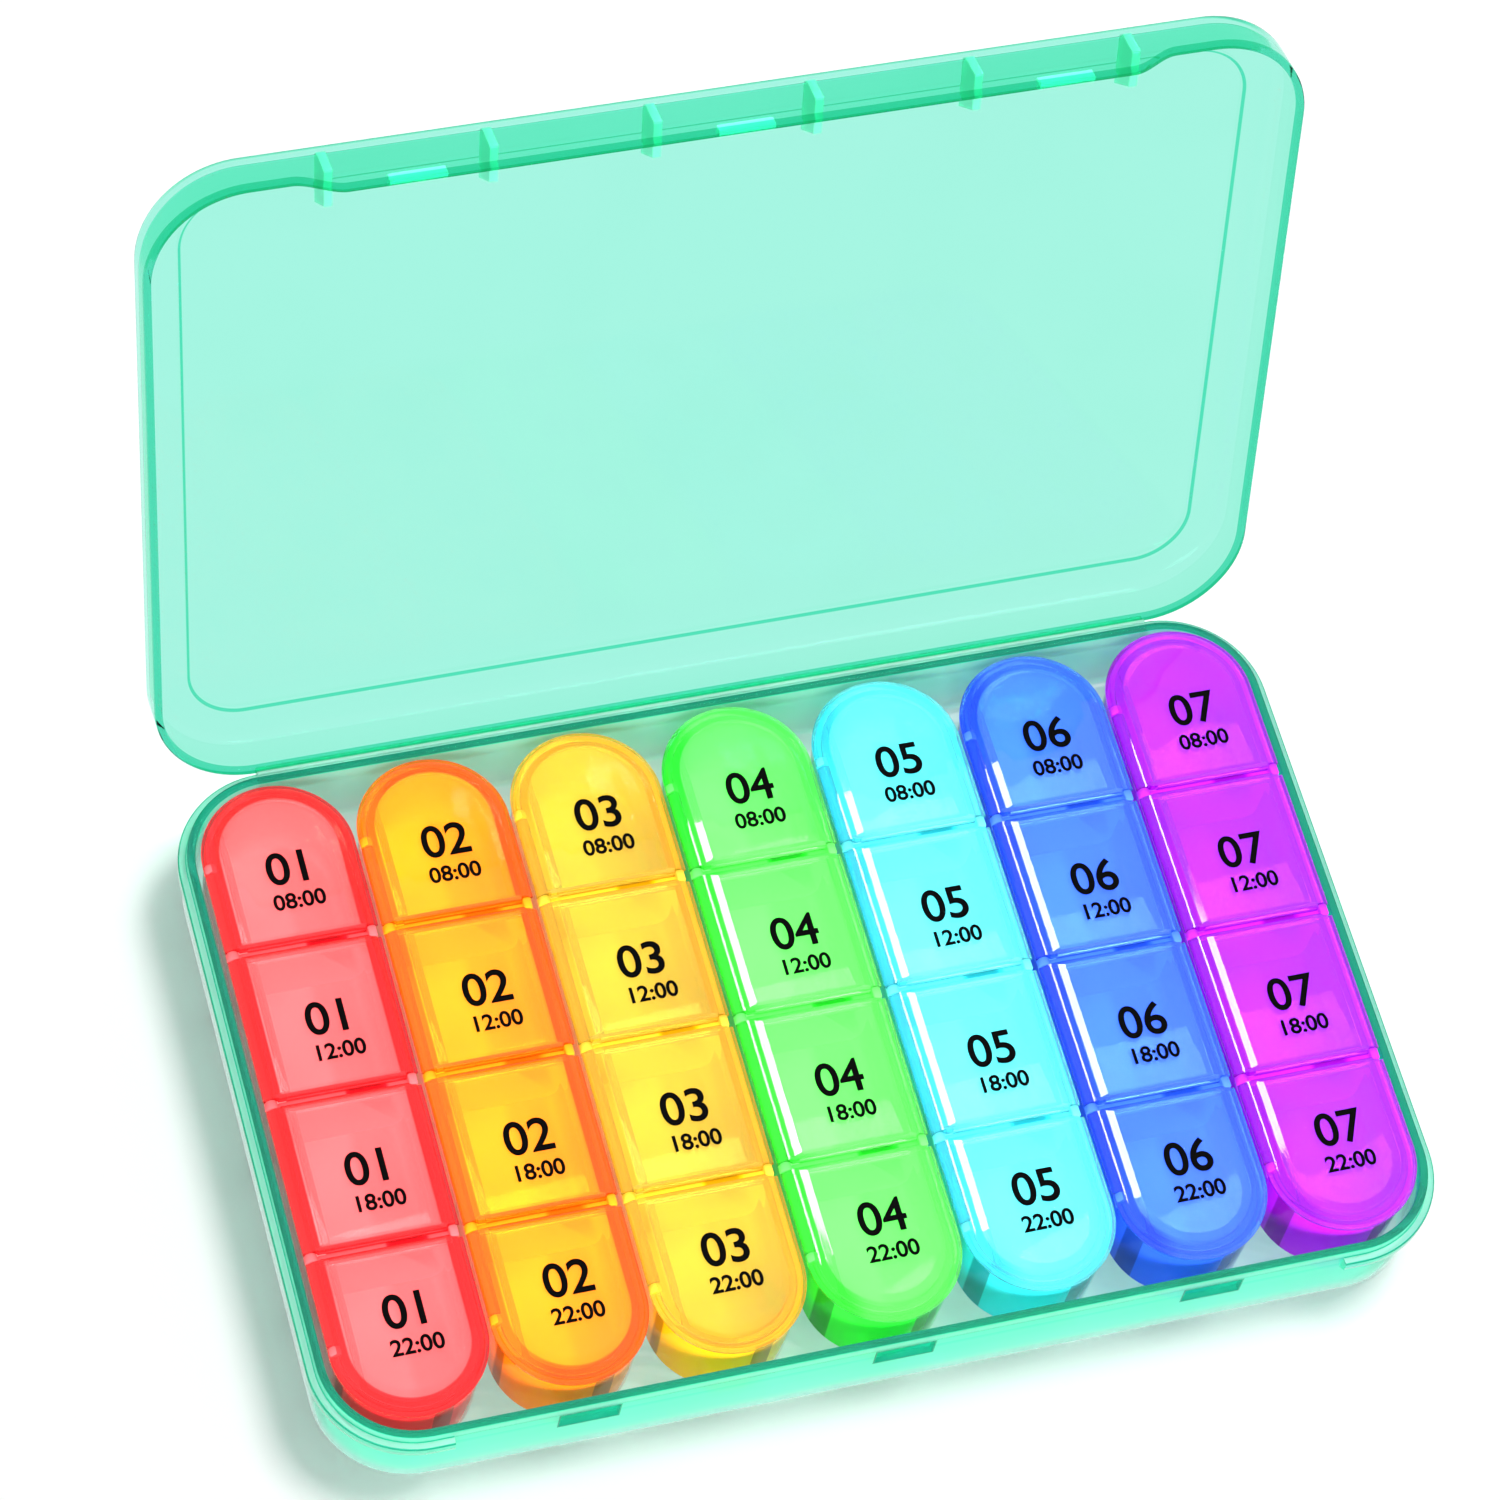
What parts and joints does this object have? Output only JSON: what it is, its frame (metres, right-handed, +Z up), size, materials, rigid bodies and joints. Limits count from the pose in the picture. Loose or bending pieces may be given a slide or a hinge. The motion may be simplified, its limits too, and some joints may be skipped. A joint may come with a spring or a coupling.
{
  "type": "weekly pill organizer",
  "caption": "Flat hinged case with a translucent lid holding a row of lift-out day boxes, each split into small compartments under snap-down hinged lids.",
  "frame": {"origin": "centre of the case base's flat underside", "axes": "+Z up, +X along the week from the first day to the last, +Y to the case's hinge; the case lid is open and all else is shut"},
  "size_m": [0.2066, 0.1824, 0.1449],
  "materials": {
    "case_plastic": "translucent gloss",
    "sun_plastic": "translucent gloss",
    "mon_plastic": "translucent gloss",
    "tue_plastic": "translucent gloss",
    "wed_plastic": "translucent gloss",
    "thu_plastic": "translucent gloss",
    "fri_plastic": "translucent gloss",
    "sat_plastic": "translucent gloss"
  },
  "bodies": {
    "case": {"case_base": "case_plastic", "hinge_strip": "case_plastic"},
    "cover": {"case_lid": "case_plastic"},
    "sun_tray": {"sun_box": "sun_plastic"},
    "sun_morn": {"sun_morn_lid": "sun_plastic"},
    "sun_noon": {"sun_noon_lid": "sun_plastic"},
    "sun_night": {"sun_night_lid": "sun_plastic"},
    "sun_spare": {"sun_spare_lid": "sun_plastic"},
    "mon_tray": {"mon_box": "mon_plastic"},
    "mon_morn": {"mon_morn_lid": "mon_plastic"},
    "mon_noon": {"mon_noon_lid": "mon_plastic"},
    "mon_night": {"mon_night_lid": "mon_plastic"},
    "mon_spare": {"mon_spare_lid": "mon_plastic"},
    "tue_tray": {"tue_box": "tue_plastic"},
    "tue_morn": {"tue_morn_lid": "tue_plastic"},
    "tue_noon": {"tue_noon_lid": "tue_plastic"},
    "tue_night": {"tue_night_lid": "tue_plastic"},
    "tue_spare": {"tue_spare_lid": "tue_plastic"},
    "wed_tray": {"wed_box": "wed_plastic"},
    "wed_morn": {"wed_morn_lid": "wed_plastic"},
    "wed_noon": {"wed_noon_lid": "wed_plastic"},
    "wed_night": {"wed_night_lid": "wed_plastic"},
    "wed_spare": {"wed_spare_lid": "wed_plastic"},
    "thu_tray": {"thu_box": "thu_plastic"},
    "thu_morn": {"thu_morn_lid": "thu_plastic"},
    "thu_noon": {"thu_noon_lid": "thu_plastic"},
    "thu_night": {"thu_night_lid": "thu_plastic"},
    "thu_spare": {"thu_spare_lid": "thu_plastic"},
    "fri_tray": {"fri_box": "fri_plastic"},
    "fri_morn": {"fri_morn_lid": "fri_plastic"},
    "fri_noon": {"fri_noon_lid": "fri_plastic"},
    "fri_night": {"fri_night_lid": "fri_plastic"},
    "fri_spare": {"fri_spare_lid": "fri_plastic"},
    "sat_tray": {"sat_box": "sat_plastic"},
    "sat_morn": {"sat_morn_lid": "sat_plastic"},
    "sat_noon": {"sat_noon_lid": "sat_plastic"},
    "sat_night": {"sat_night_lid": "sat_plastic"},
    "sat_spare": {"sat_spare_lid": "sat_plastic"}
  },
  "joints": [
    {"name": "cover_hinge", "type": "hinge", "parent": "case", "child": "cover", "pos_m": [0, 0.06715, 0.0154], "axis": [-1, 0, 0], "range_deg": [-107, 0]},
    {"name": "sun_lift", "type": "slide", "parent": "case", "child": "sun_tray", "axis": [0, 0, 1], "range_m": [0, 0.035]},
    {"name": "sun_morn_hinge", "type": "hinge", "parent": "sun_tray", "child": "sun_morn", "pos_m": [-0.09822, 0.0389, 0.01855], "axis": [0, -1, 0], "range_deg": [0, 100]},
    {"name": "sun_noon_hinge", "type": "hinge", "parent": "sun_tray", "child": "sun_noon", "pos_m": [-0.09822, 0.01495, 0.01855], "axis": [0, -1, 0], "range_deg": [0, 100]},
    {"name": "sun_night_hinge", "type": "hinge", "parent": "sun_tray", "child": "sun_night", "pos_m": [-0.09822, -0.01495, 0.01855], "axis": [0, -1, 0], "range_deg": [0, 100]},
    {"name": "sun_spare_hinge", "type": "hinge", "parent": "sun_tray", "child": "sun_spare", "pos_m": [-0.09822, -0.0389, 0.01855], "axis": [0, -1, 0], "range_deg": [0, 100]},
    {"name": "mon_lift", "type": "slide", "parent": "case", "child": "mon_tray", "axis": [0, 0, 1], "range_m": [0, 0.035]},
    {"name": "mon_morn_hinge", "type": "hinge", "parent": "mon_tray", "child": "mon_morn", "pos_m": [-0.06972, 0.0389, 0.01855], "axis": [0, -1, 0], "range_deg": [0, 100]},
    {"name": "mon_noon_hinge", "type": "hinge", "parent": "mon_tray", "child": "mon_noon", "pos_m": [-0.06972, 0.01495, 0.01855], "axis": [0, -1, 0], "range_deg": [0, 100]},
    {"name": "mon_night_hinge", "type": "hinge", "parent": "mon_tray", "child": "mon_night", "pos_m": [-0.06972, -0.01495, 0.01855], "axis": [0, -1, 0], "range_deg": [0, 100]},
    {"name": "mon_spare_hinge", "type": "hinge", "parent": "mon_tray", "child": "mon_spare", "pos_m": [-0.06972, -0.0389, 0.01855], "axis": [0, -1, 0], "range_deg": [0, 100]},
    {"name": "tue_lift", "type": "slide", "parent": "case", "child": "tue_tray", "axis": [0, 0, 1], "range_m": [0, 0.035]},
    {"name": "tue_morn_hinge", "type": "hinge", "parent": "tue_tray", "child": "tue_morn", "pos_m": [-0.04123, 0.0389, 0.01855], "axis": [0, -1, 0], "range_deg": [0, 100]},
    {"name": "tue_noon_hinge", "type": "hinge", "parent": "tue_tray", "child": "tue_noon", "pos_m": [-0.04123, 0.01495, 0.01855], "axis": [0, -1, 0], "range_deg": [0, 100]},
    {"name": "tue_night_hinge", "type": "hinge", "parent": "tue_tray", "child": "tue_night", "pos_m": [-0.04123, -0.01495, 0.01855], "axis": [0, -1, 0], "range_deg": [0, 100]},
    {"name": "tue_spare_hinge", "type": "hinge", "parent": "tue_tray", "child": "tue_spare", "pos_m": [-0.04123, -0.0389, 0.01855], "axis": [0, -1, 0], "range_deg": [0, 100]},
    {"name": "wed_lift", "type": "slide", "parent": "case", "child": "wed_tray", "axis": [0, 0, 1], "range_m": [0, 0.035]},
    {"name": "wed_morn_hinge", "type": "hinge", "parent": "wed_tray", "child": "wed_morn", "pos_m": [-0.01273, 0.0389, 0.01855], "axis": [0, -1, 0], "range_deg": [0, 100]},
    {"name": "wed_noon_hinge", "type": "hinge", "parent": "wed_tray", "child": "wed_noon", "pos_m": [-0.01273, 0.01495, 0.01855], "axis": [0, -1, 0], "range_deg": [0, 100]},
    {"name": "wed_night_hinge", "type": "hinge", "parent": "wed_tray", "child": "wed_night", "pos_m": [-0.01273, -0.01495, 0.01855], "axis": [0, -1, 0], "range_deg": [0, 100]},
    {"name": "wed_spare_hinge", "type": "hinge", "parent": "wed_tray", "child": "wed_spare", "pos_m": [-0.01273, -0.0389, 0.01855], "axis": [0, -1, 0], "range_deg": [0, 100]},
    {"name": "thu_lift", "type": "slide", "parent": "case", "child": "thu_tray", "axis": [0, 0, 1], "range_m": [0, 0.035]},
    {"name": "thu_morn_hinge", "type": "hinge", "parent": "thu_tray", "child": "thu_morn", "pos_m": [0.01577, 0.0389, 0.01855], "axis": [0, -1, 0], "range_deg": [0, 100]},
    {"name": "thu_noon_hinge", "type": "hinge", "parent": "thu_tray", "child": "thu_noon", "pos_m": [0.01577, 0.01495, 0.01855], "axis": [0, -1, 0], "range_deg": [0, 100]},
    {"name": "thu_night_hinge", "type": "hinge", "parent": "thu_tray", "child": "thu_night", "pos_m": [0.01577, -0.01495, 0.01855], "axis": [0, -1, 0], "range_deg": [0, 100]},
    {"name": "thu_spare_hinge", "type": "hinge", "parent": "thu_tray", "child": "thu_spare", "pos_m": [0.01577, -0.0389, 0.01855], "axis": [0, -1, 0], "range_deg": [0, 100]},
    {"name": "fri_lift", "type": "slide", "parent": "case", "child": "fri_tray", "axis": [0, 0, 1], "range_m": [0, 0.035]},
    {"name": "fri_morn_hinge", "type": "hinge", "parent": "fri_tray", "child": "fri_morn", "pos_m": [0.04428, 0.0389, 0.01855], "axis": [0, -1, 0], "range_deg": [0, 100]},
    {"name": "fri_noon_hinge", "type": "hinge", "parent": "fri_tray", "child": "fri_noon", "pos_m": [0.04428, 0.01495, 0.01855], "axis": [0, -1, 0], "range_deg": [0, 100]},
    {"name": "fri_night_hinge", "type": "hinge", "parent": "fri_tray", "child": "fri_night", "pos_m": [0.04428, -0.01495, 0.01855], "axis": [0, -1, 0], "range_deg": [0, 100]},
    {"name": "fri_spare_hinge", "type": "hinge", "parent": "fri_tray", "child": "fri_spare", "pos_m": [0.04428, -0.0389, 0.01855], "axis": [0, -1, 0], "range_deg": [0, 100]},
    {"name": "sat_lift", "type": "slide", "parent": "case", "child": "sat_tray", "axis": [0, 0, 1], "range_m": [0, 0.035]},
    {"name": "sat_morn_hinge", "type": "hinge", "parent": "sat_tray", "child": "sat_morn", "pos_m": [0.07278, 0.0389, 0.01855], "axis": [0, -1, 0], "range_deg": [0, 100]},
    {"name": "sat_noon_hinge", "type": "hinge", "parent": "sat_tray", "child": "sat_noon", "pos_m": [0.07278, 0.01495, 0.01855], "axis": [0, -1, 0], "range_deg": [0, 100]},
    {"name": "sat_night_hinge", "type": "hinge", "parent": "sat_tray", "child": "sat_night", "pos_m": [0.07278, -0.01495, 0.01855], "axis": [0, -1, 0], "range_deg": [0, 100]},
    {"name": "sat_spare_hinge", "type": "hinge", "parent": "sat_tray", "child": "sat_spare", "pos_m": [0.07278, -0.0389, 0.01855], "axis": [0, -1, 0], "range_deg": [0, 100]}
  ]
}
